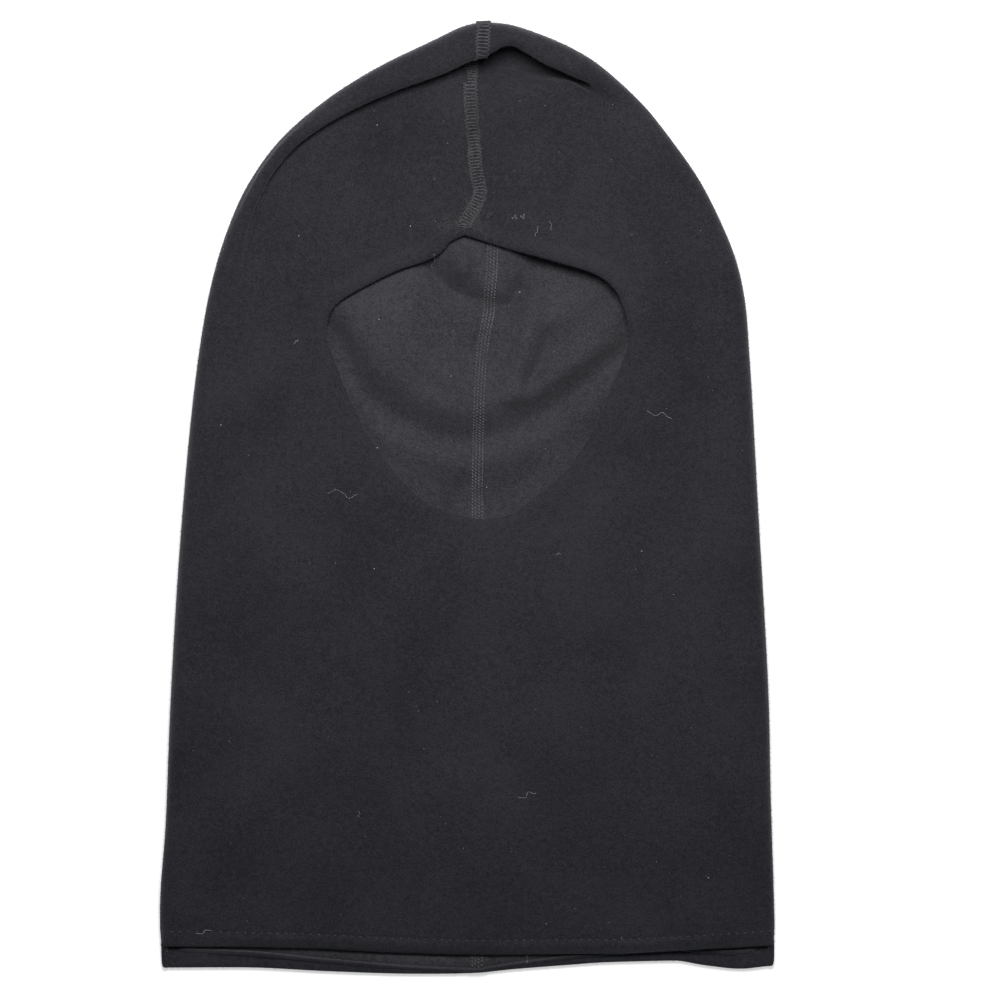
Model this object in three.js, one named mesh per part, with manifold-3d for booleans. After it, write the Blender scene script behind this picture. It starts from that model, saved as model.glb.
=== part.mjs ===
// A one-piece fleece balaclava, laid flat on its back with the face side up and the crown towards +Y.
// Millimetres, +Z up, origin under the middle of the outline on the surface that it lies on.
// Left and right are the wearer's, so the left side is at +X.
// The fleece is one cut of cloth. It is divided here along its folds and at its one sewn seam, which
// runs from the face opening over the crown and down the centre of the back.

import * as THREE from 'three';
import Module from 'manifold-3d';

// Overall sizes
const length = 409;            // crown to the lower edge of the back
const hemWidth = 264;          // across the neck, folded flat
const cloth = 2;               // fleece thickness
const innerGap = 10.4;         // free height between the front and the back
const frontHemRise = 9.5;      // the front ends this far above the back's lower edge

// The rolled crown, where the back comes over the front
const lipHeight = 24;          // top of the roll above the surface
const lipUnderside = 5 / 12;   // height of the cloth that returns under the roll, from front to top
const lipReachRight = 16.5;    // how far the roll covers the front, just right of the seam
const lipReachShoulder = 10;   // and further down the wearer's right
const lipReachLeft = 10.5;     // and on the wearer's left
const rollFadeRight = [90, 215];  // from the crown seam: where the roll starts to fade, and is gone
const rollFadeLeft = [20, 85];
const lipWall = 7;             // half depth of the bulging outer edge
const pocketDepth = 7;         // bottom of the pocket under the roll, in from the outline
const crownDepth = 24;         // depth of the crown pieces, measured in from the outline
const sideDepth = 10;          // depth of the side folds
const sideEnd = 0.47;          // share of each side's outline where the side fold becomes the crown

// Face opening
const openingWidth = 129.5;
const openingHeight = 121.5;
const openingCentreX = 4.2;
const openingCentreY = 51.2;
const openingTopX = 0;         // where the seam meets the opening

// Hems and stitching
const hemDepth = 7;            // turned allowance on both hems
const hemStitchInset = 6;      // stitch row from the folded edge
const seamX = 4;               // plane of the sewn seam
const seamWidth = 6.3;         // flatlock cover stitching
const needleSpacing = 1.8;     // between the four needle threads
const threadSize = 0.4;
const coverThickness = 0.3;
const looperThickness = 0.2;
const grooveDepth = 0.5;       // how far the stitching sinks in the pile
const grooveMargin = 0.3;      // groove past the stitching on each side

// Clearances
const gap = 0.3;               // between touching pieces of cloth
const ribClearance = 1;        // least distance from the seam to the inner end of a crown rib
const threadGap = 0.1;         // between a thread and what it lies on

// Half outlines from hem to crown: [share of half the hem width, share of the length]
const outlineRight = [[1, 0], [1, 0.06], [0.983, 0.14], [0.965, 0.29], [0.929, 0.475], [0.877, 0.645],
  [0.83, 0.73], [0.769, 0.79], [0.704, 0.832], [0.609, 0.874], [0.459, 0.917], [0.309, 0.949],
  [0.147, 0.978], [0.03, 0.997]];
const outlineLeft = [[1, 0], [0.995, 0.06], [0.984, 0.18], [0.977, 0.29], [0.945, 0.475], [0.915, 0.645],
  [0.899, 0.707], [0.87, 0.749], [0.817, 0.791], [0.749, 0.833], [0.661, 0.875], [0.554, 0.917],
  [0.449, 0.948], [0.25, 0.985], [0.13, 0.997]];

// Face opening from its top point round the wearer's right, the chin and the left,
// as shares of half its width and half its height from its centre
const openingRight = [[-0.26, 0.9], [-0.61, 0.74], [-0.91, 0.545], [-1, 0.29], [-0.97, 0.148],
  [-0.83, -0.21], [-0.656, -0.495], [-0.49, -0.73], [-0.304, -0.9], [-0.05, -0.985]];
const openingLeft = [[0.15, -0.99], [0.354, -0.87], [0.605, -0.637], [0.772, -0.354], [0.86, -0.015],
  [0.97, 0.17], [1, 0.255], [0.99, 0.4], [0.89, 0.65], [0.77, 0.757], [0.434, 0.863], [0.1, 0.95]];

const halfWidth = hemWidth / 2;
const hemY = -length / 2;
const crownY = length / 2;
const frontHemY = hemY + frontHemRise;
const openingTopY = openingCentreY + openingHeight / 2;
const backMid = cloth / 2;
const frontMid = cloth + innerGap + cloth / 2;
const crownStations = 18;
const sideStations = 6;
const openingSteps = 22;       // along each side of the face opening
const leastRoll = 1e-4;        // a crown rib is never quite a plain fold
const wallPoints = 11;         // round the outline's edge
const edgePoints = 7;          // round the roll's lower edge
const pocketPoints = 6;        // round the bottom of the pocket under the roll

const fleece = new THREE.MeshStandardMaterial({ color: 0x2b2b2f, roughness: 0.96, metalness: 0 });
const fleeceInside = new THREE.MeshStandardMaterial({ color: 0x35353a, roughness: 0.96, metalness: 0 });
const thread = new THREE.MeshStandardMaterial({ color: 0x55555c, roughness: 0.7, metalness: 0 });

const wasm = await Module();
wasm.setup();

// --- solids ---

// A closed solid between two skins. Each station holds two lists of points, outer and inner.
function slab(stations, closed = false) {
  const across = stations[0].outer.length;
  const points = stations.flatMap((s) => [...s.outer, ...s.inner]);
  const at = (i, side, j) => (i % stations.length) * 2 * across + side * across + j;
  const faces = [];
  const quad = (a, b, c, d) => faces.push(a, b, c, a, c, d);
  for (let i = 0; i < stations.length - (closed ? 0 : 1); i++) {
    for (let j = 0; j < across - 1; j++) {
      quad(at(i, 0, j), at(i + 1, 0, j), at(i + 1, 0, j + 1), at(i, 0, j + 1));
      quad(at(i, 1, j), at(i, 1, j + 1), at(i + 1, 1, j + 1), at(i + 1, 1, j));
    }
    const last = across - 1;
    quad(at(i, 0, 0), at(i, 1, 0), at(i + 1, 1, 0), at(i + 1, 0, 0));
    quad(at(i, 0, last), at(i + 1, 0, last), at(i + 1, 1, last), at(i, 1, last));
  }
  if (!closed) {
    const end = stations.length - 1;
    for (let j = 0; j < across - 1; j++) {
      quad(at(0, 0, j), at(0, 0, j + 1), at(0, 1, j + 1), at(0, 1, j));
      quad(at(end, 0, j), at(end, 1, j), at(end, 1, j + 1), at(end, 0, j + 1));
    }
  }
  return facingOut(points, faces);
}

function facingOut(points, faces) {
  let volume = 0;
  for (let f = 0; f < faces.length; f += 3) {
    const [a, b, c] = [points[faces[f]], points[faces[f + 1]], points[faces[f + 2]]];
    volume += a.dot(b.clone().cross(c));
  }
  if (volume < 0) {
    faces.reverse();
  }
  const geometry = new THREE.BufferGeometry();
  const flat = points.flatMap((p) => [p.x, p.y, p.z]);
  geometry.setAttribute('position', new THREE.Float32BufferAttribute(flat, 3));
  geometry.setIndex(faces);
  return geometry;
}

function toManifold(geometry) {
  const vertProperties = new Float32Array(geometry.attributes.position.array);
  const triVerts = new Uint32Array(geometry.index.array);
  const mesh = new wasm.Mesh({ numProp: 3, vertProperties, triVerts });
  mesh.merge();
  return new wasm.Manifold(mesh);
}

function toGeometry(solid) {
  const mesh = solid.getMesh();
  const geometry = new THREE.BufferGeometry();
  geometry.setAttribute('position', new THREE.Float32BufferAttribute(mesh.vertProperties, 3));
  geometry.setIndex(new THREE.Uint32BufferAttribute(mesh.triVerts, 1));
  return geometry;
}

function cut(geometry, cutters) {
  let solid = toManifold(geometry);
  for (const cutter of cutters) {
    solid = solid.subtract(toManifold(cutter));
  }
  return toGeometry(solid);
}

// A flat plate of cloth over an outline, with its middle at the given height
function plate(loop, middle) {
  const turnsLeft = THREE.ShapeUtils.area(loop.map(([x, y]) => new THREE.Vector2(x, y))) > 0;
  const outline = turnsLeft ? loop : [...loop].reverse();
  const bottom = outline.map(([x, y]) => new THREE.Vector3(x, y, middle - cloth / 2));
  const top = outline.map(([x, y]) => new THREE.Vector3(x, y, middle + cloth / 2));
  const flat = outline.map(([x, y]) => new THREE.Vector2(x, y));
  const count = outline.length;
  const faces = [];
  for (const [a, b, c] of THREE.ShapeUtils.triangulateShape(flat, [])) {
    faces.push(a, c, b, a + count, b + count, c + count);
  }
  for (let i = 0; i < count; i++) {
    const next = (i + 1) % count;
    faces.push(i, next, next + count, i, next + count, i + count);
  }
  return facingOut([...bottom, ...top], faces);
}

// --- outline and roll of the hood ---

function smooth(edge0, edge1, value) {
  return THREE.MathUtils.smoothstep(value, edge0, edge1);
}

// side is -1 on the wearer's right and 1 on the left
function outlineCurve(side) {
  const shares = side < 0 ? outlineRight : outlineLeft;
  const points = shares.map(([across, up]) =>
    new THREE.Vector3(side * across * halfWidth, hemY + up * length, 0));
  points.push(new THREE.Vector3(seamX, crownY, 0));
  return new THREE.CatmullRomCurve3(points, false, 'centripetal');
}

// How much of the roll stands at a distance from the crown seam, and how far it reaches over the front.
// The roll fades into a plain fold down each side, and lifts off the front just left of the seam.
function rollAt(side, fromCrown) {
  const [full, gone] = side < 0 ? rollFadeRight : rollFadeLeft;
  const share = Math.max(1 - smooth(full, gone, fromCrown), leastRoll);
  const narrowing = side < 0
    ? (lipReachRight - lipReachShoulder) * smooth(full / 3, full, fromCrown)
    : (lipReachRight - lipReachLeft) * smooth(4, 16, fromCrown);
  return { share, reach: lipReachRight - narrowing };
}

// Points on an arc or part of an ellipse in the plane of a rib, from one angle to another in degrees
function arc(centre, width, height, from, to, count) {
  return Array.from({ length: count }, (_, i) => {
    const turn = THREE.MathUtils.degToRad(THREE.MathUtils.lerp(from, to, i / (count - 1)));
    return [centre[0] + width * Math.cos(turn), centre[1] + height * Math.sin(turn)];
  });
}

// The middle line of the cloth from the back, round the outline, to the front, as points of
// (distance in from the outline, height). A plain round fold becomes a roll that covers the front.
function foldLine(share, reach, depth) {
  const outside = cloth / 2;
  const foldRadius = (frontMid - backMid) / 2;
  const foldCentre = outside + foldRadius;
  const plain = arc([foldCentre, backMid + foldRadius], foldRadius, foldRadius, -90, -270, wallPoints);
  const along = edgePoints + pocketPoints;
  for (let i = 1; i <= along; i++) {
    plain.push([THREE.MathUtils.lerp(foldCentre, depth, i / (along + 1)), frontMid]);
  }
  const top = lipHeight - outside;
  const edge = reach - outside;
  const underside = THREE.MathUtils.lerp(frontMid, top, lipUnderside);
  const edgeRadius = (top - underside) / 2;
  const pocketRadius = (underside - frontMid) / 2;
  const wallCentre = Math.min(lipWall, edge - edgeRadius);
  const pocket = Math.min(pocketDepth, edge - edgeRadius - pocketRadius);
  const wallHeight = (top - backMid) / 2;
  const rolled = [
    ...arc([wallCentre, backMid + wallHeight], wallCentre - outside, wallHeight, -90, -270, wallPoints),
    ...arc([edge - edgeRadius, underside + edgeRadius], edgeRadius, edgeRadius, 90, -90, edgePoints),
    ...arc([pocket + pocketRadius, frontMid + pocketRadius], pocketRadius, pocketRadius, 90, 270,
      pocketPoints),
  ];
  const line = plain.map(([n, z], i) => new THREE.Vector2(
    THREE.MathUtils.lerp(n, rolled[i][0], share), THREE.MathUtils.lerp(z, rolled[i][1], share)));
  return [new THREE.Vector2(depth, backMid), ...line, new THREE.Vector2(depth, frontMid)];
}

// A fold line moved off its middle: outwards, or inwards with a negative offset
function skin(line, offset) {
  return line.map((p, i) => {
    const before = line[Math.max(i - 1, 0)];
    const after = line[Math.min(i + 1, line.length - 1)];
    const along = after.clone().sub(before).normalize();
    return new THREE.Vector2(p.x + along.y * -offset, p.y + along.x * offset);
  });
}

// Cuts through the rim between two shares of one side's outline: where each stands, which way is in,
// how far it is from the crown seam, and its depth
function ribs(side, from, to, count) {
  const curve = outlineCurve(side);
  const total = curve.getLength();
  const fade = (1 - sideEnd) * total;
  return Array.from({ length: count + 1 }, (_, i) => {
    const share = THREE.MathUtils.lerp(from, to, i / count);
    const place = curve.getPointAt(share);
    const along = curve.getTangentAt(share);
    const inward = new THREE.Vector2(side * -along.y, side * along.x);
    const fromCrown = (1 - share) * total;
    if (share === 0) {
      inward.set(-side, 0);
    }
    if (share === 1) {
      inward.set(0, -1);
      place.x = seamX + (side * gap) / 2;
    }
    const depth = THREE.MathUtils.lerp(crownDepth, sideDepth, smooth(fade * 0.6, fade, fromCrown));
    if (share < 1) {
      keepShortOfSeam(side, place, inward, depth + gap);
    }
    return { place, along, inward, fromCrown, depth, atHem: share === 0 };
  });
}

// Ribs lean towards the seam near the crown, but they don't cross it
function keepShortOfSeam(side, place, inward, reach) {
  const mostLean = (side * (place.x - seamX) - ribClearance) / reach;
  if (-side * inward.x > mostLean) {
    inward.set(-side * mostLean, -Math.sqrt(1 - mostLean ** 2));
  }
}

const sideRibs = (side) => ribs(side, 0, sideEnd, sideStations);
const crownRibs = (side) => ribs(side, sideEnd, 1, crownStations);

// The two skins of the cloth at a rib. At the hem the front ends higher than the back.
function ribSkins(rib, line) {
  const points = (offset) => skin(line, offset).map((p, i) => {
    const rise = rib.atHem ? (frontHemRise * i) / (line.length - 1) : 0;
    return new THREE.Vector3(rib.place.x + rib.inward.x * p.x, rib.place.y + rib.inward.y * p.x + rise, p.y);
  });
  return { outer: points(cloth / 2), inner: points(-cloth / 2) };
}

function sideFold(side) {
  const stations = sideRibs(side).map((rib) => ribSkins(rib, foldLine(0, lipReachRight, rib.depth)));
  const last = sideRibs(side).pop();
  const { outer, inner } = stations[sideStations];
  [...outer, ...inner].forEach((p) => p.addScaledVector(last.along, -gap));
  return slab(stations);
}

function crownRoll(side) {
  return slab(crownRibs(side).map((rib) => {
    const roll = rollAt(side, rib.fromCrown);
    return ribSkins(rib, foldLine(roll.share, roll.reach, rib.depth));
  }));
}

// The inner boundary of the rim on one side, from the hem to the crown seam
function rimEdge(side) {
  return [...sideRibs(side).slice(0, -1), ...crownRibs(side)].map((rib) =>
    [rib.place.x + rib.inward.x * (rib.depth + gap), rib.place.y + rib.inward.y * (rib.depth + gap)]);
}

// --- cloth pieces ---

function openingCurve() {
  const toPoint = ([across, up]) => new THREE.Vector3(openingCentreX + (across * openingWidth) / 2,
    openingCentreY + (up * openingHeight) / 2, 0);
  const top = new THREE.Vector3(openingTopX, openingTopY, 0);
  const points = [top, ...openingRight.map(toPoint), ...openingLeft.map(toPoint), top.clone()];
  return new THREE.CatmullRomCurve3(points, false, 'centripetal');
}

function openingPoints() {
  return openingCurve().getPoints(openingSteps * 2).slice(0, -1);
}

function frontPanel() {
  const right = rimEdge(-1);
  const left = rimEdge(1);
  right[0][1] = frontHemY;
  left[0][1] = frontHemY;
  const opening = openingPoints().map((p) => [p.x, p.y]);
  const top = opening.shift();
  const slitHere = [top[0] - gap / 2, top[1]];
  const slitThere = [top[0] + gap / 2, top[1]];
  left.reverse();
  return plate([...right, slitHere, ...opening, slitThere, ...left], frontMid);
}

function backPanel(side) {
  const edge = rimEdge(side);
  edge[0][1] = hemY;
  const bySeam = seamX + (side * gap) / 2;
  return plate([...edge, [bySeam, hemY]], backMid);
}

// The opening's edge moved outwards along the front
function openingRing(outwards) {
  const points = openingPoints();
  const count = points.length;
  return points.map((p, i) => {
    const along = points[(i + 1) % count].clone().sub(points[(i - 1 + count) % count]).normalize();
    return new THREE.Vector3(p.x + along.y * outwards, p.y - along.x * outwards, 0);
  });
}

function openingBand(from, to, low, high) {
  const near = openingRing(from);
  const far = openingRing(to);
  return slab(near.map((p, i) => ({
    outer: [new THREE.Vector3(p.x, p.y, high), new THREE.Vector3(far[i].x, far[i].y, high)],
    inner: [new THREE.Vector3(p.x, p.y, low), new THREE.Vector3(far[i].x, far[i].y, low)],
  })), true);
}

// --- the closed loop of cloth at the hem ---

// Round the tube: across the front, down the right fold, across the back and up the left fold
function hemLoop(offset) {
  const line = foldLine(0, lipReachRight, sideDepth);
  const along = skin(line, offset);
  const last = line.length - 1;
  const fold = (side) => along.map((p, i) =>
    new THREE.Vector3(side * (halfWidth - p.x), hemY + (frontHemRise * i) / last, p.y));
  return [...fold(-1).reverse(), ...fold(1)];
}

// A band round the tube between two heights above the hem and two offsets from the middle of the cloth
function hemBand(lowest, highest, innerOffset, outerOffset) {
  const near = hemLoop(innerOffset);
  const far = hemLoop(outerOffset);
  const lift = (p, height) => new THREE.Vector3(p.x, p.y + height, p.z);
  return slab(near.map((p, i) => ({
    outer: [lift(far[i], lowest), lift(far[i], highest)],
    inner: [lift(p, lowest), lift(p, highest)],
  })), true);
}

// --- stitching along the seam ---

// Along the seam from the back's hem, over the crown and down to the face opening, moved off the
// middle of the cloth. It stands straight except between the crown and the top of the opening.
function seamLine(offset, aboveHem, aboveOpening) {
  const roll = rollAt(-1, 0);
  const line = foldLine(roll.share, roll.reach, crownDepth);
  const lowest = openingTopY + aboveOpening;
  line.unshift(new THREE.Vector2(crownY - hemY - aboveHem, backMid));
  line.push(new THREE.Vector2(crownY - lowest, frontMid));
  const points = skin(line, offset).map((p) => new THREE.Vector3(seamX, crownY - p.x, p.y));
  const foreheadTop = crownY - crownDepth;
  const downForehead = (foreheadTop - lowest) / (foreheadTop - openingTopY);
  points[points.length - 1].x = THREE.MathUtils.lerp(seamX, openingTopX, downForehead);
  return points;
}

function seamBand(shift, width, innerOffset, outerOffset, aboveHem, aboveOpening) {
  const near = seamLine(innerOffset, aboveHem, aboveOpening);
  const far = seamLine(outerOffset, aboveHem, aboveOpening);
  const pair = (p) => [-1, 1].map((s) => new THREE.Vector3(p.x + shift + (s * width) / 2, p.y, p.z));
  return slab(near.map((p, i) => ({ outer: pair(far[i]), inner: pair(p) })));
}

// --- assembly ---

const balaclava = new THREE.Group();

function add(name, geometry, material) {
  const mesh = new THREE.Mesh(geometry, material);
  mesh.name = name;
  balaclava.add(mesh);
}

const face = cloth / 2;
const past = 0.5;                                 // how far a groove's cutter stands out of the cloth
const groove = seamWidth + 2 * grooveMargin;
const stitchHalf = threadSize / 2 + grooveMargin;
const outerGroove = seamBand(0, groove, face - grooveDepth, face + past, -past, -past);
const innerGroove = seamBand(0, groove, -face - past, grooveDepth - face, -past, -past);
const hemGroove = hemBand(hemStitchInset - stitchHalf, hemStitchInset + stitchHalf,
  face - grooveDepth, face + past);
const grooves = [outerGroove, innerGroove, hemGroove];

add('front_panel', cut(frontPanel(), grooves), fleece);
for (const [name, side] of [['right', -1], ['left', 1]]) {
  add(`back_${name}`, cut(backPanel(side), grooves), fleece);
  add(`side_fold_${name}`, cut(sideFold(side), [hemGroove]), fleece);
  add(`crown_${name}`, cut(crownRoll(side), [outerGroove, innerGroove]), fleece);
}

const allowanceTop = frontMid - face - gap;
add('face_hem', openingBand(0, hemDepth, allowanceTop - cloth, allowanceTop), fleeceInside);
add('bottom_hem', hemBand(0, hemDepth, -face - gap - cloth, -face - gap), fleeceInside);

// Flatlock seam: a cover thread outside, and a looper thread with four needle threads inside
const clearOfFaceHem = hemDepth + 2;
const clearOfHemStitch = hemStitchInset + 2;
const clearOfHem = hemDepth + 2;
const coverLow = face - grooveDepth + threadGap;
add('seam_cover_thread',
  seamBand(0, seamWidth, coverLow, coverLow + coverThickness, clearOfHemStitch, clearOfFaceHem), thread);
const looperHigh = grooveDepth - face - threadGap;
add('seam_looper_thread', seamBand(0, seamWidth, looperHigh - looperThickness, looperHigh,
  clearOfHem, clearOfFaceHem), thread);
const needleHigh = looperHigh - looperThickness - threadGap;
for (let i = 0; i < 4; i++) {
  const shift = (i - 1.5) * needleSpacing;
  add(`seam_needle_thread_${i + 1}`, seamBand(shift, threadSize, needleHigh - threadSize, needleHigh,
    clearOfHem, clearOfFaceHem), thread);
}

// Hem stitching: a needle thread outside and a looper thread inside, on each hem
const frontTop = frontMid + face;
const ringFrom = hemStitchInset - threadSize / 2;
const ringTo = hemStitchInset + threadSize / 2;
add('face_hem_needle_thread',
  openingBand(ringFrom, ringTo, frontTop + threadGap, frontTop + threadGap + threadSize), thread);
const allowanceBottom = allowanceTop - cloth;
add('face_hem_looper_thread', openingBand(ringFrom, ringTo, allowanceBottom - threadGap - threadSize,
  allowanceBottom - threadGap), thread);
const hemNeedleLow = face - grooveDepth + threadGap / 2;
add('bottom_hem_needle_thread', hemBand(ringFrom, ringTo, hemNeedleLow, hemNeedleLow + threadSize), thread);
const hemLooperHigh = -face - gap - cloth - threadGap;
add('bottom_hem_looper_thread',
  hemBand(ringFrom, ringTo, hemLooperHigh - threadSize, hemLooperHigh), thread);

export default balaclava;
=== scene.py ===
import math

import bpy
import numpy as np
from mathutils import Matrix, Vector
from mathutils.bvhtree import BVHTree


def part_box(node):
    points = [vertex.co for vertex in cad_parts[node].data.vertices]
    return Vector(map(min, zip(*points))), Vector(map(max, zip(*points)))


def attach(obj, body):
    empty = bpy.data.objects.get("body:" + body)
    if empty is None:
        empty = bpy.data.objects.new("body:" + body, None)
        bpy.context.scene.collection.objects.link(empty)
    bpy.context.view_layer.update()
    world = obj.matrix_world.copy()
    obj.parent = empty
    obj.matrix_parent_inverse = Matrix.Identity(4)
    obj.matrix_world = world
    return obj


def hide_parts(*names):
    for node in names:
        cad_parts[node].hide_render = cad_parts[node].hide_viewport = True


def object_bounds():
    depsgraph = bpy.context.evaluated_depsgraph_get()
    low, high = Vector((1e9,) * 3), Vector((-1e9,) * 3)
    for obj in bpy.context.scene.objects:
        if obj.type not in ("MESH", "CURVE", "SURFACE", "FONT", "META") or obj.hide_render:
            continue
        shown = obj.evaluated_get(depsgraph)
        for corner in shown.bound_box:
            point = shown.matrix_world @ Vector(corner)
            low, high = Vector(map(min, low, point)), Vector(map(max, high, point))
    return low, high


# A fleece balaclava laid flat on its back, face side up, crown towards +Y.
# Lengths are millimetres until a mesh is made; right and left are the wearer's, so right is at -X.

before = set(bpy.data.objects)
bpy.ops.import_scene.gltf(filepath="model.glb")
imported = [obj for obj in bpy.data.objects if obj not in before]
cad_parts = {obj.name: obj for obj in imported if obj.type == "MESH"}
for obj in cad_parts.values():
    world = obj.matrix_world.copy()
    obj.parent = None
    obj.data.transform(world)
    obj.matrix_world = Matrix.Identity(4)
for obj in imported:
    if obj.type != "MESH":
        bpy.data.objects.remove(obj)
cadBox = [list(corner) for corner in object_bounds()]
mm = 0.001


def boxOf(node):
    low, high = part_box(node)
    return np.array(low) / mm, np.array(high) / mm


wholeLow = np.array(cadBox[0]) / mm
wholeHigh = np.array(cadBox[1]) / mm
frontLow, frontHigh = boxOf("front_panel")
faceHemLow, faceHemHigh = boxOf("face_hem")
backSeamLow, backSeamHigh = boxOf("seam_looper_thread")

view = {
    "across": 430,                                 # width of the view where the cloth lies
    "distance": 2000,
    "aim": (13.8, -1.3),
    "sensor": 36,
}

cameraData = bpy.data.cameras.new("camera")
cameraData.sensor_width = view["sensor"]
cameraData.lens = view["sensor"] * view["distance"] / view["across"]
cameraData.clip_end = 20
camera = bpy.data.objects.new("camera", cameraData)
camera.location = (view["aim"][0] * mm, view["aim"][1] * mm, view["distance"] * mm)
bpy.context.scene.collection.objects.link(camera)
bpy.context.scene.camera = camera
print("camera placed")


def smoothLine(points, perSpan=12):                # a smooth curve through the points
    p = np.asarray(points, float)
    p = np.vstack([2 * p[0] - p[1], p, 2 * p[-1] - p[-2]])
    pieces = []
    for a, b, c, d in zip(p, p[1:], p[2:], p[3:]):
        t1 = np.linalg.norm(b - a) ** 0.5
        t2 = t1 + np.linalg.norm(c - b) ** 0.5
        t3 = t2 + np.linalg.norm(d - c) ** 0.5
        t = np.linspace(t1, t2, perSpan, endpoint=False)[:, None]
        a1 = (t1 - t) / t1 * a + t / t1 * b
        a2 = (t2 - t) / (t2 - t1) * b + (t - t1) / (t2 - t1) * c
        a3 = (t3 - t) / (t3 - t2) * c + (t - t2) / (t3 - t2) * d
        b1 = (t2 - t) / t2 * a1 + t / t2 * a2
        b2 = (t3 - t) / (t3 - t1) * a2 + (t - t1) / (t3 - t1) * a3
        pieces.append((t2 - t) / (t2 - t1) * b1 + (t - t1) / (t2 - t1) * b2)
    return np.vstack(pieces + [p[-2:-1]])


def distancesAlong(line):
    return np.concatenate([[0], np.cumsum(np.linalg.norm(np.diff(line, axis=0), axis=1))])


def valuesAt(values, along, distances):
    return np.stack([np.interp(distances, along, values[:, k]) for k in range(values.shape[1])], axis=-1)


def pointsAt(line, distances):
    return valuesAt(line, distancesAlong(line), distances)


def steadied(values, rounds):                      # evened out along a line, with its ends kept
    for _ in range(rounds):
        values[1:-1] = (values[:-2] + 2 * values[1:-1] + values[2:]) / 4
    return values


def unit(v):
    return v / np.maximum(np.linalg.norm(v, axis=-1, keepdims=True), 1e-9)


def smooth(low, high, x):
    t = np.clip((np.asarray(x, float) - low) / (high - low), 0, 1)
    return t * t * (3 - 2 * t)


def eased(keys, x):                                # a monotone cubic through (place, value) keys
    kx, ky = np.array(keys, float).T
    step = np.diff(kx)
    slope = np.diff(ky) / step
    m = np.zeros(len(kx))
    same = slope[:-1] * slope[1:] > 0
    m[1:-1][same] = (2 * slope[:-1] * slope[1:])[same] / (slope[:-1] + slope[1:])[same]
    x = np.clip(x, kx[0], kx[-1])
    i = np.clip(np.searchsorted(kx, x) - 1, 0, len(step) - 1)
    t = (x - kx[i]) / step[i]
    h = step[i]
    return ((2 * t ** 3 - 3 * t ** 2 + 1) * ky[i] + (t ** 3 - 2 * t ** 2 + t) * h * m[i]
            + (3 * t ** 2 - 2 * t ** 3) * ky[i + 1] + (t ** 3 - t ** 2) * h * m[i + 1])


def nearestOn(line, x, y):                         # distance, share along, and which side of a line
    dist = np.full(x.shape, 1e9)
    share = np.zeros(x.shape)
    sign = np.ones(x.shape)
    along = distancesAlong(line)
    for k in range(len(line) - 1):
        a, d = line[k], line[k + 1] - line[k]
        length = max(d @ d, 1e-9)
        t = np.clip(((x - a[0]) * d[0] + (y - a[1]) * d[1]) / length, 0, 1)
        px, py = x - a[0] - t * d[0], y - a[1] - t * d[1]
        here = np.hypot(px, py)
        closer = here < dist
        dist = np.where(closer, here, dist)
        share = np.where(closer, (along[k] + t * (along[k + 1] - along[k])) / along[-1], share)
        sign = np.where(closer, np.sign(d[0] * py - d[1] * px), sign)
    return dist, share, sign


cloth = {
    "thickness": frontHigh[2] - frontLow[2],
    "hemThickness": 1.3,                           # each layer is pressed flat where it's turned and sewn
    "flat": (0.53, 0.42),                          # metres, round the neck and from neck to crown
    "hemDepth": 7.0,                               # turned allowance on both hems
    "neckAllowance": 9.0,                          # how far the neck hem reaches up inside
    "foldRadius": 0.7,                             # of the cloth's middle at a turned edge
    "hemStitch": 6.9,                              # stitch row above the neck edge
    "faceStitch": 6.0,
    "rows": 3.15,                                  # spacing of the mesh rows along the outline
    "acrossBack": 50, "acrossRim": 3, "acrossFront": 34,
    "frontHeight": [(0, 5.4), (4, 6), (12, 7.2), (40, 9), (110, 11), (200, 12)],    # at the folds
    "crownDrop": 1.6,                              # the roll's top edge is above its outermost line
    "seamX": (backSeamLow[0] + backSeamHigh[0]) / 2,
}

outline = {                                        # right and left, shares of half the width and the length
    -1: [(1, 0), (1, 0.06), (0.983, 0.14), (0.965, 0.29), (0.929, 0.475), (0.877, 0.645), (0.83, 0.73),
         (0.769, 0.79), (0.704, 0.832), (0.609, 0.874), (0.459, 0.917), (0.309, 0.949), (0.147, 0.976),
         (0.045, 0.992)],
    1: [(1, 0), (0.995, 0.06), (0.984, 0.18), (0.977, 0.29), (0.945, 0.475), (0.915, 0.645), (0.899, 0.707),
        (0.87, 0.749), (0.817, 0.791), (0.749, 0.833), (0.661, 0.873), (0.554, 0.9145), (0.449, 0.944),
        (0.33, 0.967), (0.2, 0.984), (0.1, 0.9935)],
}

opening = {                                        # shares of half its width and height from its centre
    "top": (-0.085, 1.0),
    -1: [(-0.176, 0.957), (-0.251, 0.869), (-0.351, 0.815), (-0.501, 0.763), (-0.652, 0.69), (-0.803, 0.605),
         (-0.915, 0.53), (-0.971, 0.463), (-0.997, 0.37), (-0.991, 0.264), (-0.928, 0.077), (-0.827, -0.19),
         (-0.676, -0.483), (-0.527, -0.696), (-0.376, -0.856), (-0.225, -0.943)],
    "chin": (-0.02, -0.997),
    1: [(0.126, -0.993), (0.242, -0.951), (0.351, -0.864), (0.602, -0.632), (0.769, -0.35), (0.884, -0.057),
        (0.975, 0.178), (0.998, 0.309), (0.975, 0.45), (0.917, 0.597), (0.829, 0.691), (0.729, 0.743),
        (0.578, 0.792), (0.427, 0.838), (0.226, 0.895), (0.06, 0.95)],
    "height": [(0, 6.2), (0.2, 6.2), (0.42, 7), (0.52, 8.6), (0.6, 9.8), (0.68, 9.2), (0.85, 9.2),
               (0.95, 10.6), (1, 11)],             # of the edge above the table, from the chin up
    "heightLeft": [(0, 6.2), (0.2, 6.4), (0.4, 7.0), (0.52, 9.2), (0.6, 11.2), (0.85, 11.6), (1, 11)],
}

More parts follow.
